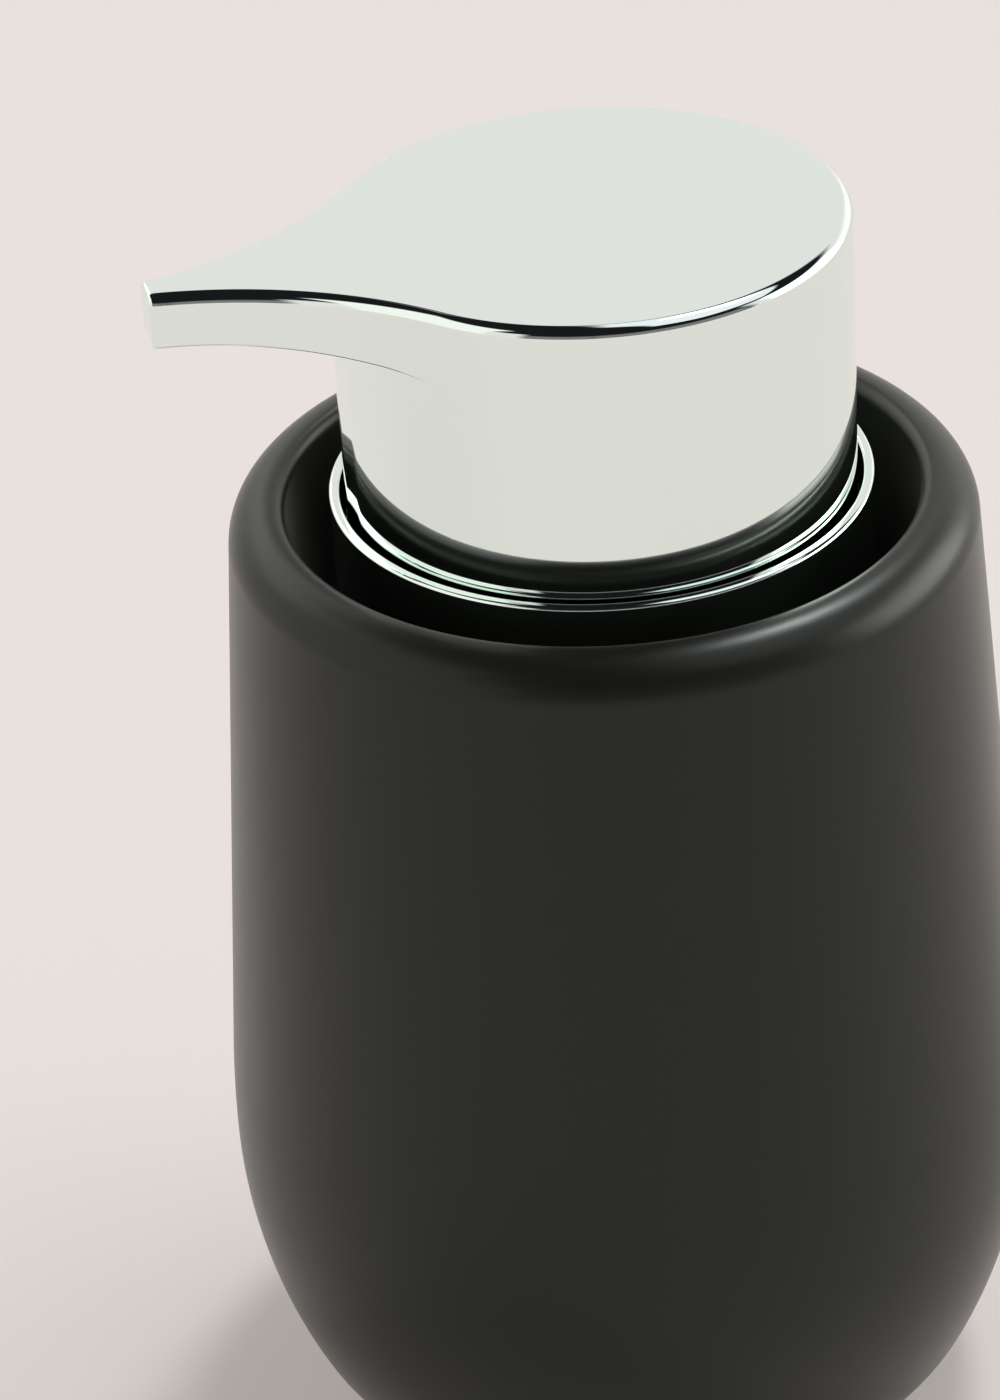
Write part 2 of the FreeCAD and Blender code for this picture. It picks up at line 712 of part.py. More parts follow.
def chrome_collar():
    """Chrome cup round the closure: its lip shows, its well takes the head's skirt."""
    body = new_body("chrome_collar")
    hub_bore = CLOSURE_RADIUS + S.fit_gap
    hub_outer = hub_bore + S.collar_hub_wall
    floor_top = COLLAR_FLOOR + S.collar_floor_wall
    wall_base = RECESS_FLOOR + S.running_gap
    hub_top = COLLAR_FLOOR + S.collar_hub_height
    cup = turned(body, "Cup", [
        (hub_bore, COLLAR_FLOOR), (COLLAR_BORE, COLLAR_FLOOR), (COLLAR_BORE, wall_base),
        (COLLAR_RADIUS, wall_base), (COLLAR_RADIUS, COLLAR_TOP), (COLLAR_BORE, COLLAR_TOP),
        (COLLAR_BORE, floor_top), (hub_outer, floor_top), (hub_outer, hub_top),
        (hub_bore, hub_top),
    ])
    edges = ring_edges(cup, [(COLLAR_RADIUS, COLLAR_TOP), (COLLAR_BORE, COLLAR_TOP)])
    dress(body, "LipRound", cup, edges, S.collar_lip_round)


# ---------------------------------------------------------------- plunger


def piston():
    """Soft piston: a hub on the stem's foot and a sleeve with a wiping lip at each end."""
    body = new_body("piston")
    bore = S.stem_foot_radius + S.fit_gap
    hub = bore + S.piston_hub_wall
    lip = S.barrel_bore - S.fit_gap
    sleeve = lip - S.piston_lip
    inside = sleeve - S.piston_sleeve_wall
    web_base = PISTON_BASE + S.piston_length / 2 - S.piston_web / 2
    web_top = web_base + S.piston_web
    low = PISTON_BASE + S.piston_lip * 2
    high = PISTON_TOP - S.piston_lip * 2
    flare = S.piston_lip * 4
    turned(body, "Section", [
        (bore, PISTON_BASE), (hub, PISTON_BASE), (hub, web_base), (inside, web_base),
        (inside, low), (lip, low), (sleeve, low + flare), (sleeve, high - flare), (lip, high),
        (inside, high), (inside, web_top), (hub, web_top), (hub, PISTON_TOP),
        (bore, PISTON_TOP),
    ])


def stem():
    """Hollow stem: a stepped foot for the piston and a ball seat near the top."""
    body = new_body("stem")
    turned(body, "Section", [
        (S.stem_bore, STEM_BASE), (S.stem_foot_radius, STEM_BASE),
        (S.stem_foot_radius, STEM_SHOULDER), (S.stem_radius, STEM_SHOULDER),
        (S.stem_radius, STEM_TOP), (S.stem_valve_bore, STEM_TOP),
        (S.stem_valve_bore, STEM_VALVE_FLOOR), (S.stem_throat_radius, STEM_SEAT_FLOOR),
        (S.stem_throat_radius, STEM_SEAT_FLOOR - S.stem_throat_length),
        (S.stem_bore, STEM_SEAT_FLOOR - S.stem_throat_length),
    ])


def piston_retainer():
    """Hollow plug in the stem's foot: it holds the piston up and carries the spring."""
    body = new_body("piston_retainer")
    plug = S.stem_bore - S.fit_gap
    plug_top = STEM_BASE + S.retainer_plug_length
    nose_base = RETAINER_BASE - S.retainer_nose_length
    turned(body, "Section", [
        (S.retainer_bore, nose_base), (S.retainer_nose_radius, nose_base),
        (S.retainer_nose_radius, RETAINER_BASE), (S.retainer_lip_radius, RETAINER_BASE),
        (S.retainer_lip_radius, STEM_BASE), (plug, STEM_BASE), (plug, plug_top),
        (S.retainer_bore, plug_top),
    ])


# ---------------------------------------------------------------- head


def spout_side_centre():
    """Centre of the concave side arc at +Y: tangent to the head, through the tip's corner."""
    corner = Vector(-S.spout_reach.value, S.spout_tip_half.value, 0)
    side = S.spout_side_round.value
    reach = S.head_radius.value + side
    along = (reach**2 - side**2 + corner.Length**2) / (2 * corner.Length)
    away = math.sqrt(reach**2 - along**2)
    toward = corner / corner.Length
    return toward * along + Vector(toward.y, -toward.x, 0) * away


def side_arc(centre, radius, from_x, to_x):
    """The part of the side arc between two stations, nearest the spout's middle line."""
    angles = []
    for x in (from_x, to_x):
        across = x - centre.x
        angles.append(math.atan2(-math.sqrt(radius**2 - across**2), across))
    return arc(centre.x, centre.y, radius, *angles)


def mirrored(shape):
    """The same arc on the other side of the spout's middle line."""
    circle = Part.Circle(Vector(shape.Center.x, -shape.Center.y, 0), Vector(0, 0, 1), shape.Radius)
    return Part.ArcOfCircle(circle, -shape.LastParameter, -shape.FirstParameter)


def draw_head_plan(sketch):
    """Teardrop plan: the round head, a concave sweep on each side and the blunt spout tip."""
    centre = spout_side_centre()
    tip = -S.spout_reach.value
    half = S.spout_tip_half.value
    touch = centre * (S.head_radius.value / centre.Length)
    angle = math.atan2(touch.y, touch.x)
    side = side_arc(centre, S.spout_side_round.value, tip, touch.x)
    upper, lower, nose, head = range(4)
    sketch.addGeometry([
        side,
        mirrored(side),
        Part.LineSegment(Vector(tip, -half, 0), Vector(tip, half, 0)),
        arc(0, 0, S.head_radius.value, -angle, angle),
    ])
    sketch.addConstraint([
        Sketcher.Constraint("Coincident", head, 3, -1, 1),
        Sketcher.Constraint("Coincident", lower, 2, nose, 1),
        Sketcher.Constraint("Coincident", nose, 2, upper, 1),
        Sketcher.Constraint("Symmetric", nose, 1, nose, 2, -1),
    ])
    tangent(sketch, upper, 2, head, 2)
    tangent(sketch, lower, 1, head, 1)
    hold_x(sketch, nose, 2, -S.spout_reach)
    hold_y(sketch, nose, 2, S.spout_tip_half)
    for geo, radius in ((upper, S.spout_side_round), (lower, S.spout_side_round),
                        (head, S.head_radius)):
        bind(sketch, Sketcher.Constraint("Radius", geo, radius.value), radius)


def draw_spout_plan(sketch, inset, root):
    """The spout's plan alone, set in from its outside and closed at a root line."""
    centre = spout_side_centre()
    radius = S.spout_side_round + inset
    tip = inset - S.spout_reach
    side = side_arc(centre, radius.value, tip.value, -root.value)
    upper, lower, nose, close, to_head, to_corner = range(6)
    sketch.addGeometry([
        side,
        mirrored(side),
        Part.LineSegment(mirrored(side).EndPoint, side.StartPoint),
        Part.LineSegment(side.EndPoint, mirrored(side).StartPoint),
    ])
    corner = Vector(-S.spout_reach.value, S.spout_tip_half.value, 0)
    sketch.addGeometry([
        Part.LineSegment(Vector(0, 0, 0), centre),
        Part.LineSegment(corner, centre),
    ], True)
    sketch.addConstraint([
        Sketcher.Constraint("Coincident", lower, 2, nose, 1),
        Sketcher.Constraint("Coincident", nose, 2, upper, 1),
        Sketcher.Constraint("Coincident", upper, 2, close, 1),
        Sketcher.Constraint("Coincident", close, 2, lower, 1),
        Sketcher.Constraint("Vertical", nose),
        Sketcher.Constraint("Vertical", close),
        Sketcher.Constraint("Symmetric", upper, 3, lower, 3, -1),
        Sketcher.Constraint("Coincident", to_head, 1, -1, 1),
        Sketcher.Constraint("Coincident", to_head, 2, upper, 3),
        Sketcher.Constraint("Coincident", to_corner, 2, upper, 3),
    ])
    hold_x(sketch, nose, 1, tip)
    hold_x(sketch, close, 1, -root)
    hold_x(sketch, to_corner, 1, -S.spout_reach)
    hold_y(sketch, to_corner, 1, S.spout_tip_half)
    for geo in (upper, lower):
        bind(sketch, Sketcher.Constraint("Radius", geo, radius.value), radius)
    reach = S.head_radius + S.spout_side_round
    for geo, length in ((to_head, reach), (to_corner, S.spout_side_round)):
        bind(sketch, Sketcher.Constraint("Distance", geo, length.value), length)


def draw_below_spout(sketch, rise, root):
    """Section of what lies below the spout's curved underside, raised by a distance."""
    margin = 2.0
    tip_x = -S.spout_reach.value - margin
    root_x = -root.value
    tip_z = (HEAD_TOP - S.spout_tip_depth + rise).value
    root_z = (HEAD_TOP - S.spout_root_depth + rise).value
    low = HEAD_TOP - S.head_rise
    belly = S.spout_belly_round.value
    chord = Vector(root_x - tip_x, root_z - tip_z, 0)
    middle = Vector((root_x + tip_x) / 2, (root_z + tip_z) / 2, 0)
    away = math.sqrt(belly**2 - (chord.Length / 2)**2)
    centre = middle + Vector(chord.y, -chord.x, 0) * (away / chord.Length)
    start = math.atan2(root_z - centre.y, root_x - centre.x)
    end = math.atan2(tip_z - centre.y, tip_x - centre.x)
    under, outer, floor, inner = range(4)
    sketch.addGeometry([
        arc(centre.x, centre.y, belly, start, end),
        Part.LineSegment(Vector(tip_x, tip_z, 0), Vector(tip_x, low.value, 0)),
        Part.LineSegment(Vector(tip_x, low.value, 0), Vector(root_x, low.value, 0)),
        Part.LineSegment(Vector(root_x, low.value, 0), Vector(root_x, root_z, 0)),
    ])
    sketch.addConstraint([
        Sketcher.Constraint("Coincident", under, 2, outer, 1),
        Sketcher.Constraint("Coincident", outer, 2, floor, 1),
        Sketcher.Constraint("Coincident", floor, 2, inner, 1),
        Sketcher.Constraint("Coincident", inner, 2, under, 1),
        Sketcher.Constraint("Vertical", outer),
        Sketcher.Constraint("Horizontal", floor),
        Sketcher.Constraint("Vertical", inner),
    ])
    hold_x(sketch, outer, 1, -(S.spout_reach + margin))
    hold_y(sketch, outer, 1, HEAD_TOP - S.spout_tip_depth + rise)
    hold_x(sketch, inner, 2, -root)
    hold_y(sketch, inner, 2, HEAD_TOP - S.spout_root_depth + rise)
    hold_y(sketch, floor, 1, low)
    bind(sketch, Sketcher.Constraint("Radius", under, belly), S.spout_belly_round)


def head_shell():
    """Chrome head: a round skirt that sweeps into the spout, moulded hollow from below."""
    body = new_body("head_shell")
    plan = new_sketch(body, "PlanSection", "XY_Plane", HEAD_TOP)
    draw_head_plan(plan)
    block = S.spout_root_depth + S.head_top_wall
    pad(body, "Plan", plan, block, reverse=True)
    under = new_sketch(body, "UnderSection", "XZ_Plane")
    draw_below_spout(under, ZERO, S.spout_root - S.spout_wall * 2)
    pocket(body, "Underside", under, S.head_radius * 2, both=True)
    round_plan = new_sketch(body, "SkirtSection", "XY_Plane", SKIRT_BASE)
    draw_circle(round_plan, 0, 0, S.head_radius)
    skirt = pad(body, "Skirt", round_plan, HEAD_TOP - SKIRT_BASE)
    top = [f"Edge{i}" for i, edge in enumerate(skirt.Shape.Edges, start=1)
           if on_level(edge, HEAD_TOP) and isinstance(edge.Curve, Part.Circle)]
    shell = dress(body, "TopRound", skirt, top, S.head_edge_round)
    tip_x = -S.spout_reach.value
    tip = [f"Edge{i}" for i, edge in enumerate(shell.Shape.Edges, start=1)
           if all(abs(v.X - tip_x) < 1e-4 for v in edge.Vertexes)]
    shell = dress(body, "TipRound", shell, tip, S.spout_tip_round)
    bottom = ring_edges(shell, [(S.head_radius, SKIRT_BASE)])
    dress(body, "SkirtRound", shell, bottom, S.skirt_edge_round)
    inside = new_sketch(body, "InsideSection", "XY_Plane", SKIRT_BASE)
    draw_circle(inside, 0, 0, SKIRT_BORE)
    pocket(body, "Inside", inside, HEAD_CEILING - SKIRT_BASE, reverse=True)
    duct = new_sketch(body, "DuctSection", "XY_Plane", DUCT_FLOOR)
    draw_spout_plan(duct, S.spout_wall, S.spout_root)
    pocket(body, "Duct", duct, HEAD_CEILING - DUCT_FLOOR, reverse=True)


def on_level(edge, level):
    return all(abs(vertex.Z - level.value) < 1e-4 for vertex in edge.Vertexes)


def spout_insert():
    """Moulding that closes the spout from below and carries the soap channel in it."""
    body = new_body("spout_insert")
    base = DUCT_FLOOR + S.fit_gap
    plan = new_sketch(body, "PlanSection", "XY_Plane", base)
    root = S.spout_root + S.running_gap
    draw_spout_plan(plan, S.spout_wall + S.seat_gap, root)
    pad(body, "Plan", plan, HEAD_CEILING - S.fit_gap - base)
    under = new_sketch(body, "UnderSection", "XZ_Plane")
    draw_below_spout(under, S.insert_inset, S.spout_root - S.spout_wall * 2)
    pocket(body, "Underside", under, S.head_radius * 2, both=True)
    tube = new_sketch(body, "TubeSection", "YZ_Plane", -root - S.wall)
    draw_circle(tube, 0, CHANNEL_LEVEL, CHANNEL_TUBE)
    tube_end = HUB_RADIUS - S.channel_plug
    pad(body, "Tube", tube, root + S.wall - tube_end)
    bore = new_sketch(body, "ChannelSection", "YZ_Plane", NOZZLE_X)
    draw_circle(bore, 0, CHANNEL_LEVEL, S.channel_radius)
    pocket(body, "Channel", bore, -NOZZLE_X, reverse=True)
    drop = new_sketch(body, "DropSection", "XY_Plane", CHANNEL_LEVEL - S.channel_radius)
    draw_circle(drop, NOZZLE_X, 0, NOZZLE_RADIUS + S.fit_gap)
    pocket(body, "NozzleSeat", drop, S.spout_root_depth)
    lead = new_sketch(body, "LeadSection", "XY_Plane", CHANNEL_LEVEL)
    draw_circle(lead, NOZZLE_X, 0, S.channel_radius)
    pocket(body, "Lead", lead, S.channel_radius * 2)


def outlet_nozzle():
    """Short tube pressed up into the spout insert: the soap leaves here."""
    body = new_body("outlet_nozzle")
    top = CHANNEL_LEVEL - S.channel_radius
    base = HEAD_TOP - S.spout_tip_depth - S.nozzle_proud
    ring = new_sketch(body, "RingSection", "XY_Plane", base)
    draw_circle(ring, NOZZLE_X, 0, NOZZLE_RADIUS)
    draw_circle(ring, NOZZLE_X, 0, S.channel_radius)
    nozzle = pad(body, "Ring", ring, top - base)
    rim = [f"Edge{i}" for i, edge in enumerate(nozzle.Shape.Edges, start=1)
           if on_level(edge, base) and isinstance(edge.Curve, Part.Circle)
           and edge.Curve.Radius > S.channel_radius.value + 1e-4]
    dress(body, "Edge", nozzle, rim, S.insert_inset, "PartDesign::Chamfer")


def head_core():
    """Socket for the stem, with ribs out to a ring that grips the skirt."""
    body = new_body("head_core")
    bore = S.stem_radius + S.fit_gap
    port_top = CHANNEL_LEVEL + S.channel_radius
    turned(body, "Hub", [
        (bore, HUB_BASE), (HUB_RADIUS, HUB_BASE), (HUB_RADIUS, HEAD_CEILING),
        (0, HEAD_CEILING), (0, port_top), (S.stem_throat_radius, port_top),
        (S.stem_throat_radius, STEM_TOP), (bore, STEM_TOP),
    ])
    ring_outer = SKIRT_BORE - S.fit_gap
    ring_inner = ring_outer - S.core_ring_wall
    ring_plan = new_sketch(body, "RingSection", "XY_Plane", HUB_BASE)
    draw_circle(ring_plan, 0, 0, ring_outer)
    draw_circle(ring_plan, 0, 0, ring_inner)
    pad(body, "Ring", ring_plan, S.core_ring_height)
    rib_plan = new_sketch(body, "RibSection", "YZ_Plane", bore + S.hub_wall / 2)
    half = S.core_rib_wall / 2
    rib_top = HUB_BASE + S.core_ring_height
    draw_corners(rib_plan, [(-half, HUB_BASE), (half, HUB_BASE), (half, rib_top), (-half, rib_top)])
    rib = pad(body, "Rib", rib_plan, ring_inner + S.core_ring_wall / 2 - bore - S.hub_wall / 2)
    polar(body, "Ribs", rib, RIB_COUNT)
    socket = new_sketch(body, "PortSection", "YZ_Plane", -HUB_RADIUS)
    draw_circle(socket, 0, CHANNEL_LEVEL, CHANNEL_TUBE + S.fit_gap)
    pocket(body, "ChannelSocket", socket, S.channel_plug, reverse=True)
    way = new_sketch(body, "WaySection", "YZ_Plane", -HUB_RADIUS)
    draw_circle(way, 0, CHANNEL_LEVEL, S.channel_radius)
    pocket(body, "ChannelWay", way, HUB_RADIUS, reverse=True)


# ---------------------------------------------------------------- build, check, write


def build():
    make_sheet()
    ceramic_bottle()
    foot_pad()
    washer("insert_seal", S.mouth_radius, S.insert_lip, RECESS_FLOOR, S.insert_seal_thickness)
    neck_insert()
    washer("neck_gasket", S.insert_bore, S.housing_lip_radius, NECK_TOP, S.gasket_thickness)
    pump_housing()
    stem_guide()
    valve_cage()
    dip_tube()
    return_spring()
    ball("inlet_ball", S.inlet_ball_radius, SEAT_FLOOR, S.throat_radius)
    screw_closure()
    chrome_collar()
    piston()
    stem()
    piston_retainer()
    ball("outlet_ball", S.outlet_ball_radius, STEM_SEAT_FLOOR, S.stem_throat_radius)
    head_core()
    spout_insert()
    outlet_nozzle()
    head_shell()
    doc.recompute()


def check():
    """Stop before anything is written if a feature failed or a piece isn't one valid solid."""
    for item in doc.Objects:
        if "Invalid" in item.State or "Error" in item.State:
            raise RuntimeError(f"{item.Name} did not compute: {item.State}")
    for piece in pieces:
        shape = piece.Shape
        if shape.isNull() or not shape.isValid() or len(shape.Solids) != 1:
            raise RuntimeError(f"{piece.Label} isn't one valid solid")


def write():
    os.makedirs("parts", exist_ok=True)
    for piece in pieces:
        piece.Shape.exportStep(f"parts/{piece.Label}.step")
        box = piece.Shape.BoundBox
        print(f"{piece.Label}: {piece.Shape.Volume:.1f} mm3, z {box.ZMin:.2f} to {box.ZMax:.2f}")


build()
check()
write()
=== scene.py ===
"""Looks of the soap pump dispenser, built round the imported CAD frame.

The frame is in metres with +Z up.  Sizes here are in millimetres and turn into metres where
a mesh is made.  The body, the collar and the head's shell are rebuilt with finer rounds, and
the other pieces keep their CAD meshes and get materials.
"""

import json
import math

import bmesh
import bpy
from mathutils import Matrix, Vector


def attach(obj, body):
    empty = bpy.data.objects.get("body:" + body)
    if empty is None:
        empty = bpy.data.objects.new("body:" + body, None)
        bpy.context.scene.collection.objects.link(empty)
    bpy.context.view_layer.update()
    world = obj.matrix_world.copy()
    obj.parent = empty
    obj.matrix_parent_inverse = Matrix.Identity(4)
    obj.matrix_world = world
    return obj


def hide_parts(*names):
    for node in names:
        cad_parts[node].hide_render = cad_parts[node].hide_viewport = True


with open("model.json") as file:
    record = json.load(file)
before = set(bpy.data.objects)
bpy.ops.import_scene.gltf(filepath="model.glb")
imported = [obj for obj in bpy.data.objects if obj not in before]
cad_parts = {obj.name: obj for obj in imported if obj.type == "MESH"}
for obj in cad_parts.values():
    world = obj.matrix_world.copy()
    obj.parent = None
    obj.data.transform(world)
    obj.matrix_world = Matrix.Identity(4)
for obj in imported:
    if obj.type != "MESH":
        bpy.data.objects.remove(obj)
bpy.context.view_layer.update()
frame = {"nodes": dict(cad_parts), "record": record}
MM = 0.001

# Steps round the axis, along the spout's side, round the skirt, round the head's top edge,
# round the spout's lower lip, and from that lip in to the skirt
SEGMENTS = 288
SIDE_STEPS, ROUND_STEPS = 72, 132
EDGE_STEPS, LIP_STEPS, ROOT_STEPS = 12, 4, 6

# ---------------------------------------------------------------- sizes, in millimetres

# Ceramic body: radii from the axis, heights from the worktop
FOOT = 0.6
CONTACT_R, BASE_ROUND = 23.4, 14.0
BELLY_R, BELLY_Z, BELLY_ROUND = 40.8, 31.0, 120.0
RIM_R, RIM_TOP = 31.5, 102.2
RIM_OUTER, RIM_INNER = 4.3, 1.3
RECESS_Z, RECESS_ROUND, RECESS_FLAT_R, RECESS_RINGS = 84.0, 2.0, 22.0, (98.0, 94.0, 90.0)
MOUTH_R, MOUTH_ROUND = 15.0, 0.6
PAD_R, PAD_Z = 19.0, 2.2
WALL, CAVITY_Z, CAVITY_R, CAVITY_ROUND = 5.0, 7.1, 33.0, 9.0
ROOF_Z, ROOF_R, ROOF_ROUND = 79.0, 30.8, 4.0

# Chrome collar: a cup with a grip that goes down over the closure
COLLAR_BORE, COLLAR_R, COLLAR_TOP, COLLAR_Z = 24.8, 25.9, 103.0, 84.3
COLLAR_FLOOR_Z, COLLAR_FLOOR_TOP = 87.1, 88.5
SLEEVE_BORE, SLEEVE_R, SLEEVE_TOP = 16.05, 17.25, 93.1

# Chrome head: a round skirt, and a spout toward -X
HEAD_R, HEAD_TOP, SKIRT_Z = 24.3, 130.0, 99.5
SKIRT_BORE, SKIRT_ROUND, BORE_RING_Z, CEILING_Z = 22.9, 0.3, 111.0, 128.4
SPOUT_X, SPOUT_HALF, SIDE_ROUND = -41.6, 2.1, 39.0
SPOUT_TIP_Z, SPOUT_ROOT_Z, SPOUT_ROOT_X = 124.7, 122.8, -17.6
UNDER_ROUND, UNDER_REACH = 120.0, 2.0
EDGE_ROUND, TIP_ROUND = 1.1, 0.4
LIP_ROUND, LIP_FADE, ROOT_SPREAD = 0.42, 4.0, 0.12
DUCT_WALL, DUCT_Z, DUCT_ROOT = 0.7, 123.4, -19.0


# ---------------------------------------------------------------- mesh helpers


def arc(cx, cz, radius, start, end, steps):
    """Points on an arc, angles in degrees, both ends included."""
    points = []
    for i in range(steps + 1):
        a = math.radians(start + (end - start) * i / steps)
        points.append((cx + radius * math.cos(a), cz + radius * math.sin(a)))
    return points


def rounded(corners, steps=8):
    """Corners (x, z, radius) as an outline whose corners are rounded by arcs."""
    out = []
    count = len(corners)
    for i, (x, z, radius) in enumerate(corners):
        here = Vector((x, z))
        if radius <= 0:
            out.append((x, z))
            continue
        before = (Vector(corners[i - 1][:2]) - here).normalized()
        after = (Vector(corners[(i + 1) % count][:2]) - here).normalized()
        half = before.angle(after) / 2
        centre = here + (before + after).normalized() * (radius / math.sin(half))
        first = here + before * (radius / math.tan(half)) - centre
        last = here + after * (radius / math.tan(half)) - centre
        turn = first.angle_signed(last)
        for k in range(steps + 1):
            a = -turn * k / steps
            p = centre + Vector((first.x * math.cos(a) - first.y * math.sin(a),
                                 first.x * math.sin(a) + first.y * math.cos(a)))
            out.append((p.x, p.y))
    return out


def add_object(name, verts, faces):
    """An object from points in millimetres."""
    mesh = bpy.data.meshes.new(name)
    mesh.from_pydata([tuple(c * MM for c in v) for v in verts], [], faces)
    mesh.update()
    obj = bpy.data.objects.new(name, mesh)
    bpy.context.collection.objects.link(obj)
    return obj


def settle(obj, sharp):
    """Outward faces, smooth shading with crisp corners, flat faces kept flat."""
    bm = bmesh.new()
    bm.from_mesh(obj.data)
    bmesh.ops.remove_doubles(bm, verts=bm.verts, dist=1e-7)
    bmesh.ops.recalc_face_normals(bm, faces=bm.faces)
    bm.to_mesh(obj.data)
    bm.free()
    obj.data.shade_smooth()
    obj.data.set_sharp_from_angle(angle=math.radians(sharp))
    weighted = obj.modifiers.new("flat_faces", "WEIGHTED_NORMAL")
    weighted.keep_sharp = True
    return obj


def revolve(name, outline, sharp=30.0):
    """Turn a closed outline of (radius, height) round Z."""
    verts, rows = [], []
    for radius, height in outline:
        if radius < 1e-6:
            rows.append([len(verts)] * SEGMENTS)
            verts.append((0.0, 0.0, height))
            continue
        rows.append(list(range(len(verts), len(verts) + SEGMENTS)))
        for k in range(SEGMENTS):
            a = 2 * math.pi * k / SEGMENTS
            verts.append((radius * math.cos(a), radius * math.sin(a), height))
    faces = []
    count = len(rows)
    for i in range(count):
        low, high = rows[i], rows[(i + 1) % count]
        for k in range(SEGMENTS):
            n = (k + 1) % SEGMENTS
            face = []
            for v in (low[k], low[n], high[n], high[k]):
                if v not in face:
                    face.append(v)
            if len(face) > 2:
                faces.append(face)
    return settle(add_object(name, verts, faces), sharp)


# ---------------------------------------------------------------- ceramic body


def body_outline():
    """Outline of the body: outside from the foot to the rim, then the recess and the cavity."""
    rise = BELLY_Z - FOOT - BASE_ROUND
    spread = BELLY_R - CONTACT_R
    low = (spread**2 + rise**2 - BASE_ROUND**2) / (2 * (spread - BASE_ROUND))
    turn = math.degrees(math.asin(rise / (low - BASE_ROUND)))
    belly_x = BELLY_R - BELLY_ROUND
    across = Vector((RIM_R - belly_x, RIM_TOP - RIM_OUTER - BELLY_Z))
    lean = math.degrees(math.atan2(across.y, across.x)
                        - math.acos((BELLY_ROUND - RIM_OUTER) / across.length))
    outer = [(0, PAD_Z), (PAD_R, PAD_Z), (PAD_R, FOOT)]
    outer += arc(CONTACT_R, FOOT + BASE_ROUND, BASE_ROUND, -90, -turn, 20)
    outer += arc(BELLY_R - low, BELLY_Z, low, -turn, 0, 24)[1:]
    outer += arc(belly_x, BELLY_Z, BELLY_ROUND, 0, lean, 8)[1:]
    top = arc(RIM_R, RIM_TOP - RIM_OUTER, RIM_OUTER, lean, 90, 32)
    start, end = Vector(outer[-1]), Vector(top[0])
    outer += [tuple(start.lerp(end, i / 12)) for i in range(1, 12)]
    outer += top
    wall = RIM_R - RIM_INNER
    outer += arc(RIM_R, RIM_TOP - RIM_INNER, RIM_INNER, 90, 180, 14)[1:]
    outer += [(wall, z) for z in RECESS_RINGS]
    outer += arc(wall - RECESS_ROUND, RECESS_Z + RECESS_ROUND, RECESS_ROUND, 0, -90, 8)
    outer += [(RECESS_FLAT_R, RECESS_Z)]
    inside = [(MOUTH_R, RECESS_Z, MOUTH_ROUND), (MOUTH_R, ROOF_Z, 0), (ROOF_R, ROOF_Z, ROOF_ROUND),
              (BELLY_R - WALL, BELLY_Z, 0), (CAVITY_R, CAVITY_Z, CAVITY_ROUND), (0, CAVITY_Z, 0)]
    return outer + rounded(inside, 10)


body = revolve("ceramic_body", body_outline(), sharp=40)

# ---------------------------------------------------------------- chrome collar

collar = revolve("collar_shell", rounded([
    (SLEEVE_BORE, COLLAR_FLOOR_Z, 0), (COLLAR_BORE, COLLAR_FLOOR_Z, 0), (COLLAR_BORE, COLLAR_Z, 0),
    (COLLAR_R, COLLAR_Z, 0.2), (COLLAR_R, COLLAR_TOP, 0.35), (COLLAR_BORE, COLLAR_TOP, 0.35),
    (COLLAR_BORE, COLLAR_FLOOR_TOP, 0.4), (SLEEVE_R, COLLAR_FLOOR_TOP, 0.3),
    (SLEEVE_R, SLEEVE_TOP, 0.3), (SLEEVE_BORE, SLEEVE_TOP, 0)], 8))

# ---------------------------------------------------------------- chrome head


def side_centre():
    """Centre of the arc that leaves the tip's corner and meets the head's circle smoothly."""
    corner = Vector((SPOUT_X, SPOUT_HALF))
    reach = HEAD_R + SIDE_ROUND
    along = (reach**2 - SIDE_ROUND**2 + corner.length_squared) / (2 * corner.length)
    away = math.sqrt(reach**2 - along**2)
    toward = corner.normalized()
    return toward * along + Vector((toward.y, -toward.x)) * away


SIDE = side_centre()
TOUCH = SIDE * (HEAD_R / SIDE.length)


def side_y(x, inset):
    """Half width of the spout at a station, drawn in from its side."""
    return SIDE.y - math.sqrt((SIDE_ROUND + inset)**2 - (x - SIDE.x)**2)


def under_centre():
    """Centre, seen from the side, of the arc under the spout."""
    tip = Vector((SPOUT_X - UNDER_REACH, SPOUT_TIP_Z))
    root = Vector((SPOUT_ROOT_X, SPOUT_ROOT_Z))
    chord = root - tip
    away = math.sqrt(UNDER_ROUND**2 - (chord.length / 2)**2)
    return (tip + root) / 2 + Vector((chord.y, -chord.x)).normalized() * away


UNDER = under_centre()


def under_z(x):
    """Height of the spout's underside at a station."""
    return UNDER.y + math.sqrt(UNDER_ROUND**2 - (x - UNDER.x)**2)


def half_plan():
    """Half the teardrop, from the tip's corner round the -Y side to +X, with outward normals."""
    points = []
    first = Vector((SPOUT_X - SIDE.x, SIDE.y - SPOUT_HALF))
    last = Vector((TOUCH.x - SIDE.x, SIDE.y - TOUCH.y))
    start, end = math.atan2(first.y, first.x), math.atan2(last.y, last.x)
    # The tip's corner, then nothing until its small round is passed
    for i in [0] + list(range(3, SIDE_STEPS + 1)):
        a = start + (end - start) * i / SIDE_STEPS
        out = Vector((math.cos(a), math.sin(a)))
        at = Vector((SIDE.x, -SIDE.y)) + out * SIDE_ROUND
        points.append((at, -out))
    start = math.atan2(-TOUCH.y, TOUCH.x)
    for i in range(1, ROUND_STEPS + 1):
        a = start * (1 - i / ROUND_STEPS)
        out = Vector((math.cos(a), math.sin(a)))
        points.append((out * HEAD_R, out))
    return points


def whole_plan():
    """The teardrop all round: half of it and its mirror image."""
    flip = Vector((1, -1))
    half = half_plan()
    return half + [(at * flip, out * flip) for at, out in reversed(half[:-1])]


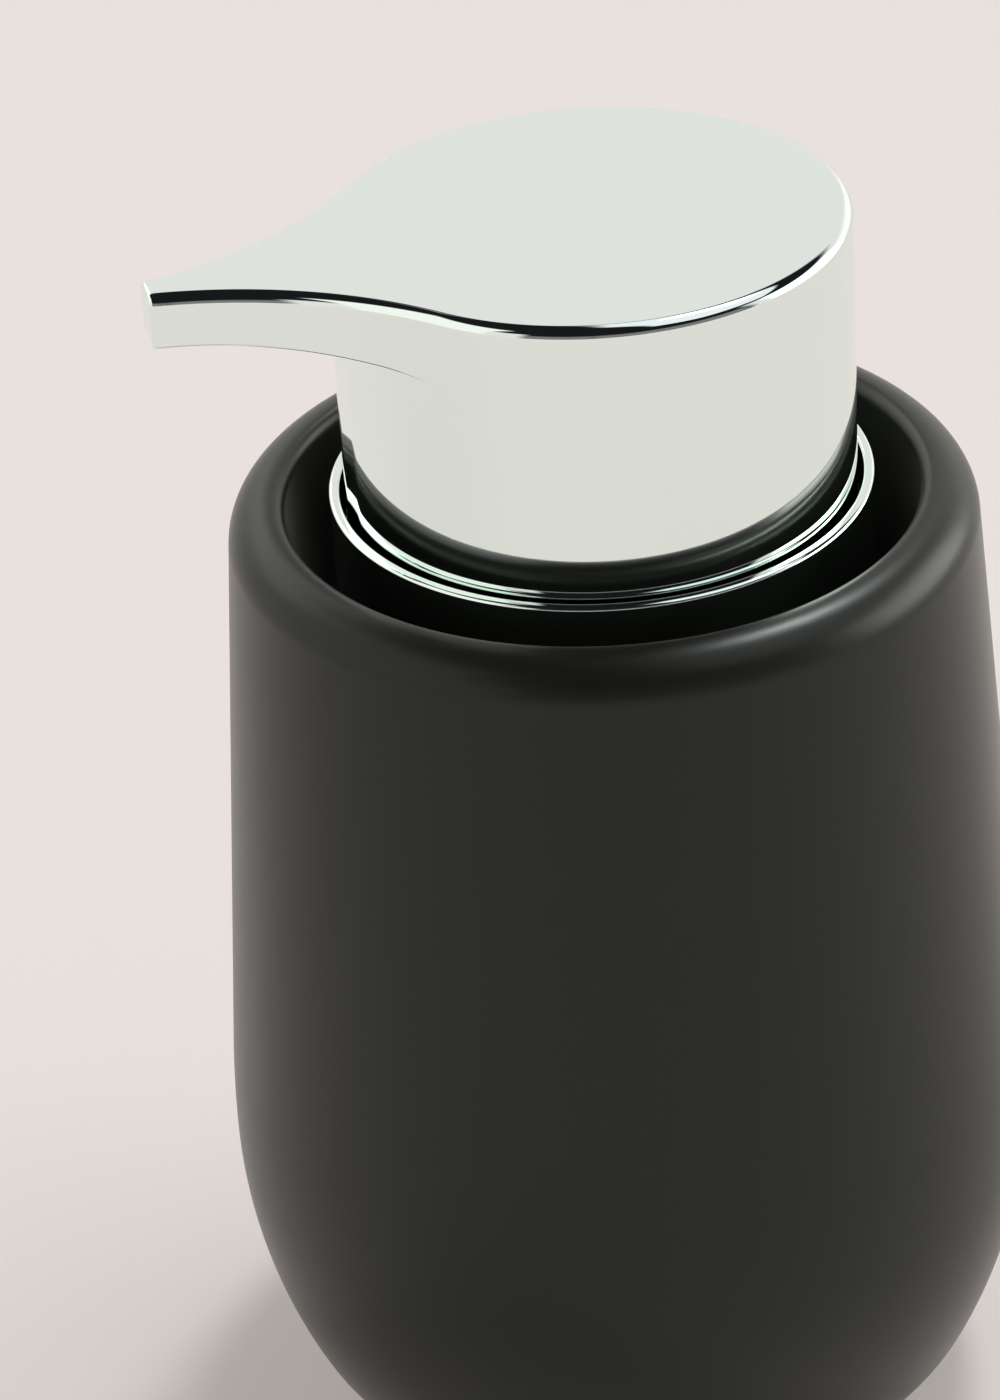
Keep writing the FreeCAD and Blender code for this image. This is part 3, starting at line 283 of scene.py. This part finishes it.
def foot_circle(outline):
    """A point on the skirt's circle for each point of the plan."""
    edge = math.atan2(TOUCH.y, -TOUCH.x)
    points = []
    for at, out in outline:
        if at.x < TOUCH.x - 1e-3:
            share = (SPOUT_X - at.x) / (SPOUT_X - TOUCH.x)
            a = math.copysign(edge * (ROOT_SPREAD + (1 - ROOT_SPREAD) * share), at.y)
            at = Vector((-HEAD_R * math.cos(a), HEAD_R * math.sin(a)))
        points.append(at)
    return points


def head_block():
    """Teardrop head: flat top, rounded edges, walls, arched spout underside, skirt and bore."""
    outline = whole_plan()
    circle = foot_circle(outline)
    count = len(outline)
    rows = []

    def inset(back, level):
        """The plan drawn in from its sides, at a height for each station.  The tip stays put."""
        row = []
        for at, out in outline:
            x, y = at - out * back(at.x)
            if at.x < SPOUT_X + 1e-3:
                x, y = SPOUT_X, math.copysign(SPOUT_HALF - back(at.x), at.y)
            row.append((x, y, level(at.x)))
        rows.append(row)

    for i in range(EDGE_STEPS + 1):
        a = math.radians(90 * i / EDGE_STEPS)
        back, drop = EDGE_ROUND * (1 - math.sin(a)), EDGE_ROUND * (1 - math.cos(a))
        inset(lambda x: back, lambda x: HEAD_TOP - drop)
    for i in range(LIP_STEPS + 1):
        a = math.radians(90 * i / LIP_STEPS)
        back, rise = LIP_ROUND * (1 - math.cos(a)), LIP_ROUND * (1 - math.sin(a))
        inset(lambda x: back * lip_share(x),
              lambda x: under_z(min(x, TOUCH.x)) + rise * lip_share(x))
    lowest = [Vector(p[:2]) for p in rows[-1]]
    for i in range(1, ROOT_STEPS + 1):
        row = [a.lerp(b, i / ROOT_STEPS) for a, b in zip(lowest, circle)]
        rows.append([(p.x, p.y, under_z(min(p.x, TOUCH.x))) for p in row])
    skirt = arc(HEAD_R - SKIRT_ROUND, SKIRT_Z + SKIRT_ROUND, SKIRT_ROUND, 0, -90, 4)
    skirt += arc(SKIRT_BORE + SKIRT_ROUND, SKIRT_Z + SKIRT_ROUND, SKIRT_ROUND, -90, -180, 4)
    skirt += [(SKIRT_BORE, BORE_RING_Z), (SKIRT_BORE, CEILING_Z)]
    for radius, z in skirt:
        rows.append([(p.x * radius / HEAD_R, p.y * radius / HEAD_R, z) for p in circle])

    verts = [p for row in rows for p in row]
    faces = [list(reversed(range(count))), list(range(len(verts) - count, len(verts)))]
    for low in range(0, len(verts) - count, count):
        for k in range(count):
            n = (k + 1) % count
            faces.append([low + k, low + n, low + count + n, low + count + k])
    return add_object("head_chrome", verts, faces)


def lip_share(x):
    """How much of the spout's lower edge is rounded: none where it runs into the skirt."""
    share = max(0.0, min(1.0, (TOUCH.x - x) / LIP_FADE))
    return share * share * (3 - 2 * share)


def edit(obj, work):
    """Run a bmesh step on an object whose doubled points are merged first."""
    bm = bmesh.new()
    bm.from_mesh(obj.data)
    bmesh.ops.remove_doubles(bm, verts=bm.verts, dist=2e-6)
    bmesh.ops.recalc_face_normals(bm, faces=bm.faces)
    work(bm)
    bm.to_mesh(obj.data)
    bm.free()


def round_tip(bm):
    """Small round on all the edges of the spout's end face."""
    at_tip = [f for f in bm.faces if all(abs(v.co.x - SPOUT_X * MM) < 1e-7 for v in f.verts)]
    end = bmesh.ops.dissolve_faces(bm, faces=at_tip)["region"][0]
    bmesh.ops.bevel(bm, geom=list(end.edges), offset=TIP_ROUND * MM, segments=5,
                    profile=0.5, affect="EDGES")


def duct_tool():
    """The hollow under the spout, inside its walls."""
    tip = SPOUT_X + DUCT_WALL
    steps = 24
    stations = [tip + (DUCT_ROOT - tip) * i / steps for i in range(steps + 1)]
    side = [(x, -side_y(x, DUCT_WALL)) for x in stations]
    outline = side + [(x, -y) for x, y in reversed(side)]
    count = len(outline)
    verts = [(x, y, z) for z in (DUCT_Z, CEILING_Z) for x, y in outline]
    faces = [list(reversed(range(count))), list(range(count, 2 * count))]
    for k in range(count):
        n = (k + 1) % count
        faces.append([k, n, count + n, count + k])
    return add_object("duct", verts, faces)


def cut(obj, tool):
    """Take a tool's shape out of an object, and remove the tool."""
    boolean = obj.modifiers.new("cut", "BOOLEAN")
    boolean.operation = "DIFFERENCE"
    boolean.solver = "EXACT"
    boolean.object = tool
    graph = bpy.context.evaluated_depsgraph_get()
    result = bpy.data.meshes.new_from_object(obj.evaluated_get(graph))
    obj.modifiers.clear()
    obj.data = result
    bpy.data.objects.remove(tool)


def build_head():
    """The head's shell: a block with a rounded tip, hollowed under the spout."""
    block = head_block()
    edit(block, round_tip)
    tool = duct_tool()
    edit(tool, lambda bm: None)  # only merges its doubled points
    cut(block, tool)
    return settle(block, 32)


head = build_head()

# ---------------------------------------------------------------- materials


def material(name):
    """A new material with its nodes, links and shader."""
    mat = bpy.data.materials.new(name)
    mat.use_nodes = True
    nodes, links = mat.node_tree.nodes, mat.node_tree.links
    return mat, nodes, links, nodes["Principled BSDF"]


def noise(nodes, links, scale, detail):
    """Fine procedural noise on object coordinates."""
    coords = nodes.new("ShaderNodeTexCoord")
    texture = nodes.new("ShaderNodeTexNoise")
    texture.inputs["Scale"].default_value = scale
    texture.inputs["Detail"].default_value = detail
    texture.inputs["Roughness"].default_value = 0.55
    links.new(coords.outputs["Object"], texture.inputs["Vector"])
    return texture.outputs["Fac"]


def remap(nodes, links, value, low, high):
    """The middle of a noise, spread over a range."""
    node = nodes.new("ShaderNodeMapRange")
    node.inputs["From Min"].default_value = 0.3
    node.inputs["From Max"].default_value = 0.7
    node.inputs["To Min"].default_value = low
    node.inputs["To Max"].default_value = high
    links.new(value, node.inputs["Value"])
    return node.outputs["Result"]


def mottle(nodes, links, value, first, second):
    """A colour between two, by a noise."""
    node = nodes.new("ShaderNodeMix")
    node.data_type = "RGBA"
    node.inputs["A"].default_value = (*first, 1)
    node.inputs["B"].default_value = (*second, 1)
    links.new(value, node.inputs["Factor"])
    return node.outputs["Result"]


def bump(nodes, links, shader, value, distance, strength):
    """Fine relief in the shading, its depth in metres."""
    node = nodes.new("ShaderNodeBump")
    node.inputs["Distance"].default_value = distance
    node.inputs["Strength"].default_value = strength
    links.new(value, node.inputs["Height"])
    links.new(node.outputs["Normal"], shader.inputs["Normal"])


def soft_touch():
    """Black coating over ceramic: satin, with a very fine orange-peel grain."""
    mat, nodes, links, shader = material("soft_touch_black")
    grain = noise(nodes, links, 2600, 3)
    cloud = noise(nodes, links, 40, 5)
    links.new(mottle(nodes, links, cloud, (0.014, 0.015, 0.012), (0.016, 0.017, 0.014)),
              shader.inputs["Base Color"])
    links.new(remap(nodes, links, cloud, 0.31, 0.34), shader.inputs["Roughness"])
    shader.inputs["IOR"].default_value = 1.36
    shader.inputs["Specular Tint"].default_value = (0.94, 1.0, 0.94, 1)
    shader.inputs["Sheen Weight"].default_value = 0.12
    shader.inputs["Sheen Roughness"].default_value = 0.25
    shader.inputs["Sheen Tint"].default_value = (1.0, 0.98, 0.86, 1)
    bump(nodes, links, shader, grain, 0.000016, 0.7)
    return mat


def chrome():
    """Bright plated plastic: mirror finish with a faint haze in its tint and roughness."""
    mat, nodes, links, shader = material("plated_chrome")
    haze = noise(nodes, links, 300, 3)
    links.new(mottle(nodes, links, haze, (0.86, 0.945, 0.905), (0.87, 0.955, 0.915)),
              shader.inputs["Base Color"])
    shader.inputs["Metallic"].default_value = 1.0
    links.new(remap(nodes, links, haze, 0.02, 0.035), shader.inputs["Roughness"])
    return mat


def plastic(name, first, second, rough):
    """Moulded plastic or rubber with a fine texture from its mould."""
    mat, nodes, links, shader = material(name)
    cloud = noise(nodes, links, 220, 4)
    fine = noise(nodes, links, 1500, 3)
    links.new(mottle(nodes, links, cloud, first, second), shader.inputs["Base Color"])
    links.new(remap(nodes, links, fine, rough - 0.05, rough + 0.05), shader.inputs["Roughness"])
    bump(nodes, links, shader, fine, 0.00002, 0.4)
    return mat


def steel(name, rough):
    """Bare stainless steel."""
    mat, nodes, links, shader = material(name)
    fine = noise(nodes, links, 900, 4)
    links.new(mottle(nodes, links, fine, (0.52, 0.52, 0.50), (0.62, 0.61, 0.59)),
              shader.inputs["Base Color"])
    shader.inputs["Metallic"].default_value = 1.0
    links.new(remap(nodes, links, fine, rough, rough + 0.1), shader.inputs["Roughness"])
    return mat


FINISHES = {
    "soft_touch_ceramic": soft_touch(),
    "chrome_plating": chrome(),
    "white_polypropylene": plastic("natural_polypropylene",
                                   (0.78, 0.78, 0.75), (0.84, 0.84, 0.82), 0.42),
    "clear_polyethylene": plastic("soft_polyethylene",
                                  (0.72, 0.74, 0.72), (0.80, 0.82, 0.80), 0.36),
    "grey_plastic": plastic("dark_grey_plastic",
                            (0.070, 0.072, 0.070), (0.090, 0.092, 0.090), 0.40),
    "black_rubber": plastic("black_rubber",
                            (0.020, 0.020, 0.020), (0.032, 0.032, 0.032), 0.75),
    "spring_steel": steel("spring_wire", 0.22),
    "ball_steel": steel("ground_balls", 0.10),
}
NODE_SLOTS = {s["node"]: s["material_slot"] for s in frame["record"]["subparts"]}


def finish_as(obj, slot):
    """Give an object a slot's material, on the object and not on its mesh."""
    if not obj.material_slots:
        obj.data.materials.append(None)
    for place in obj.material_slots:
        place.link = "OBJECT"
        place.material = FINISHES[slot]


for node, obj in frame["nodes"].items():
    finish_as(obj, NODE_SLOTS[node])


def stand_in(obj, body_name, node):
    """obj stands for a CAD node and takes its finish and its body."""
    finish_as(obj, NODE_SLOTS[node])
    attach(obj, body_name)
    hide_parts(node)


stand_in(body, "bottle", "ceramic_bottle")
stand_in(collar, "collar", "chrome_collar")
stand_in(head, "head", "head_shell")

# ---------------------------------------------------------------- camera

# Place round the axis, distance from it and height above the collar's lip, in degrees and metres
CAM_AZIMUTH, CAM_BACK, CAM_UP = -15.8, 0.3590, 0.1943
# Looking down, aside and tilted, in degrees; the lens in millimetres
CAM_PITCH, CAM_YAW, CAM_ROLL = 31.39, -1.75, 3.8
CAM_LENS = 110.5714286

turn = Matrix.Rotation(math.radians(CAM_AZIMUTH), 3, "Z")
pitch, yaw, roll = (math.radians(a) for a in (CAM_PITCH, CAM_YAW, CAM_ROLL))
forward = Vector((math.sin(yaw) * math.cos(pitch), math.cos(yaw) * math.cos(pitch),
                  -math.sin(pitch)))
right = Vector((math.cos(yaw), -math.sin(yaw), 0.0))
down = forward.cross(right)
tilted = right * math.cos(roll) + down * math.sin(roll)
axes = Matrix((turn @ tilted, turn @ -forward.cross(tilted), turn @ -forward)).transposed()
camera = bpy.data.objects.new("camera", bpy.data.cameras.new("camera"))
bpy.context.collection.objects.link(camera)
place = turn @ Vector((0.0, -CAM_BACK, CAM_UP)) + Vector((0, 0, COLLAR_TOP * MM))
camera.matrix_world = Matrix.Translation(place) @ axes.to_4x4()
camera.data.lens = CAM_LENS
camera.data.clip_start, camera.data.clip_end = 0.01, 20
bpy.context.scene.camera = camera

# ---------------------------------------------------------------- floor, light and world

# The lit floor as the camera sees it, the paper's own colour, which gives that under this
# studio's light, and how much of the floor's look is a glow
BACKDROP = (0.812, 0.752, 0.723)
PAPER = (0.773, 0.713, 0.688)
GLOW = 0.3
FLOOR_HALF = 12.0


def seen(nodes, links):
    """1 for what the camera sees straight, in a reflection or through glass, otherwise 0."""
    path = nodes.new("ShaderNodeLightPath")
    share = path.outputs["Is Camera Ray"]
    for ray in ("Is Glossy Ray", "Is Transmission Ray"):
        either = nodes.new("ShaderNodeMath")
        either.operation = "MAXIMUM"
        links.new(share, either.inputs[0])
        links.new(path.outputs[ray], either.inputs[1])
        share = either.outputs["Value"]
    return share


def paper():
    """Matt paper.  Its glow is seen straight and in reflections, and keeps the shadows pale."""
    mat, nodes, links, shader = material("paper")
    shader.inputs["Base Color"].default_value = (*PAPER, 1)
    shader.inputs["Roughness"].default_value = 1.0
    shader.inputs["Specular IOR Level"].default_value = 0.0
    glow = nodes.new("ShaderNodeEmission")
    glow.inputs["Color"].default_value = (*BACKDROP, 1)
    share = remap(nodes, links, seen(nodes, links), 0.0, GLOW)
    mix = nodes.new("ShaderNodeMixShader")
    links.new(share, mix.inputs[0])
    links.new(shader.outputs["BSDF"], mix.inputs[1])
    links.new(glow.outputs["Emission"], mix.inputs[2])
    surface = next(n for n in nodes if n.type == "OUTPUT_MATERIAL").inputs["Surface"]
    links.new(mix.outputs["Shader"], surface)
    return mat


def floor():
    """A wide flat floor under the part."""
    mesh = bpy.data.meshes.new("floor")
    corners = [(-1, -1), (1, -1), (1, 1), (-1, 1)]
    mesh.from_pydata([(x * FLOOR_HALF, y * FLOOR_HALF, 0) for x, y in corners], [], [(0, 1, 2, 3)])
    obj = bpy.data.objects.new("floor", mesh)
    bpy.context.collection.objects.link(obj)
    obj.data.materials.append(paper())


floor()

PALE, BLACK = (0.83, 0.80, 0.79), (0.010, 0.010, 0.012)
COOL, WARM = (0.97, 0.99, 1.03), (1.0, 0.99, 0.93)
# Walls as seen from the object: azimuth from straight behind it, positive to the right, and
# height above the horizon, both in degrees; then soft edge, colour and strength
WALLS = [
    ("room_right", 112, 181, -90, 24, 4, PALE, 0.25),
    ("room_left", -181, -148, -90, 24, 4, PALE, 0.25),
    ("backdrop", -150, 110, -90, 34, 3, PALE, 1.0),
    ("fill_softbox", -134, -60, -2, 56, 2, WARM, 1.0),
    ("left_softbox", -62, -14, 21, 44, 4, WARM, 2.2),
    ("right_strip", 15, 50, -10, 24, 5, WARM, 1.1),
    ("right_softbox", 50, 98, -10, 30, 5, WARM, 5.0),
]
# Softboxes overhead: corners to the right and behind on a ceiling one unit up
CEILING = [
    ("scrim", [(-0.01, 1.25), (0.02, 0.25), (0.38, -0.56), (0.80, -0.56), (1.15, 0.0)],
     0.03, COOL, 0.95),
    ("key_softbox", [(0.19, 0.46), (0.41, 0.42), (0.41, 0.64), (0.19, 0.68)], 0.05, COOL, 50.0),
]


def studio_world():
    """A studio far away: dim and pale walls, and soft boxes painted on them by direction."""
    world = bpy.data.worlds.new("studio")
    bpy.context.scene.world = world
    world.use_nodes = True
    nodes, links = world.node_tree.nodes, world.node_tree.links

    def math_node(operation, *values):
        """A Math node on numbers and sockets."""
        node = nodes.new("ShaderNodeMath")
        node.operation = operation
        for socket, value in zip(node.inputs, values):
            if isinstance(value, (int, float)):
                socket.default_value = value
            else:
                links.new(value, socket)
        return node.outputs["Value"]

    def step(value, at, softness):
        """0 below an edge and 1 above it, blended softly."""
        node = nodes.new("ShaderNodeMapRange")
        node.interpolation_type = "SMOOTHSTEP"
        node.inputs["From Min"].default_value = at - softness
        node.inputs["From Max"].default_value = at + softness
        links.new(value, node.inputs["Value"])
        return node.outputs["Result"]

    coords = nodes.new("ShaderNodeTexCoord")
    spin = nodes.new("ShaderNodeVectorRotate")
    spin.rotation_type = "Z_AXIS"
    spin.inputs["Angle"].default_value = math.radians(-CAM_AZIMUTH)
    links.new(coords.outputs["Generated"], spin.inputs["Vector"])
    parts = nodes.new("ShaderNodeSeparateXYZ")
    links.new(spin.outputs["Vector"], parts.inputs["Vector"])
    across, behind, up = parts.outputs
    degree = math.degrees(1.0)
    azimuth = math_node("MULTIPLY", math_node("ARCTAN2", across, behind), degree)
    height = math_node("MULTIPLY", math_node("ARCSINE", up), degree)

    masks = []
    for name, left, right, low, high, softness, tint, strength in WALLS:
        mask = math_node("MULTIPLY", step(azimuth, left, softness), step(height, low, softness))
        for value, limit in ((azimuth, right), (height, high)):
            inside = math_node("SUBTRACT", 1.0, step(value, limit, softness))
            mask = math_node("MULTIPLY", mask, inside)
        masks.append((name, mask, tint, strength))
    horizon = 0.01
    above = math_node("MAXIMUM", up, horizon)
    x, y = math_node("DIVIDE", across, above), math_node("DIVIDE", behind, above)
    for name, corners, softness, tint, strength in CEILING:
        mask = step(up, horizon, horizon)
        for (x0, y0), (x1, y1) in zip(corners, corners[1:] + corners[:1]):
            length = math.hypot(x1 - x0, y1 - y0)
            nx, ny = (y0 - y1) / length, (x1 - x0) / length
            inward = math_node("ADD", math_node("MULTIPLY", x, nx), math_node("MULTIPLY", y, ny))
            mask = math_node("MULTIPLY", mask, step(inward, x0 * nx + y0 * ny, softness))
        masks.append((name, mask, tint, strength))

    colour = None
    for name, mask, tint, strength in masks:
        layer = nodes.new("ShaderNodeMix")
        layer.name = name
        layer.data_type = "RGBA"
        layer.inputs["B"].default_value = (*(c * strength for c in tint), 1)
        if colour:
            links.new(colour, layer.inputs["A"])
        else:
            layer.inputs["A"].default_value = (*BLACK, 1)
        links.new(mask, layer.inputs["Factor"])
        colour = layer.outputs["Result"]
    links.new(colour, nodes["Background"].inputs["Color"])


studio_world()

bpy.context.scene.view_settings.view_transform = "Standard"
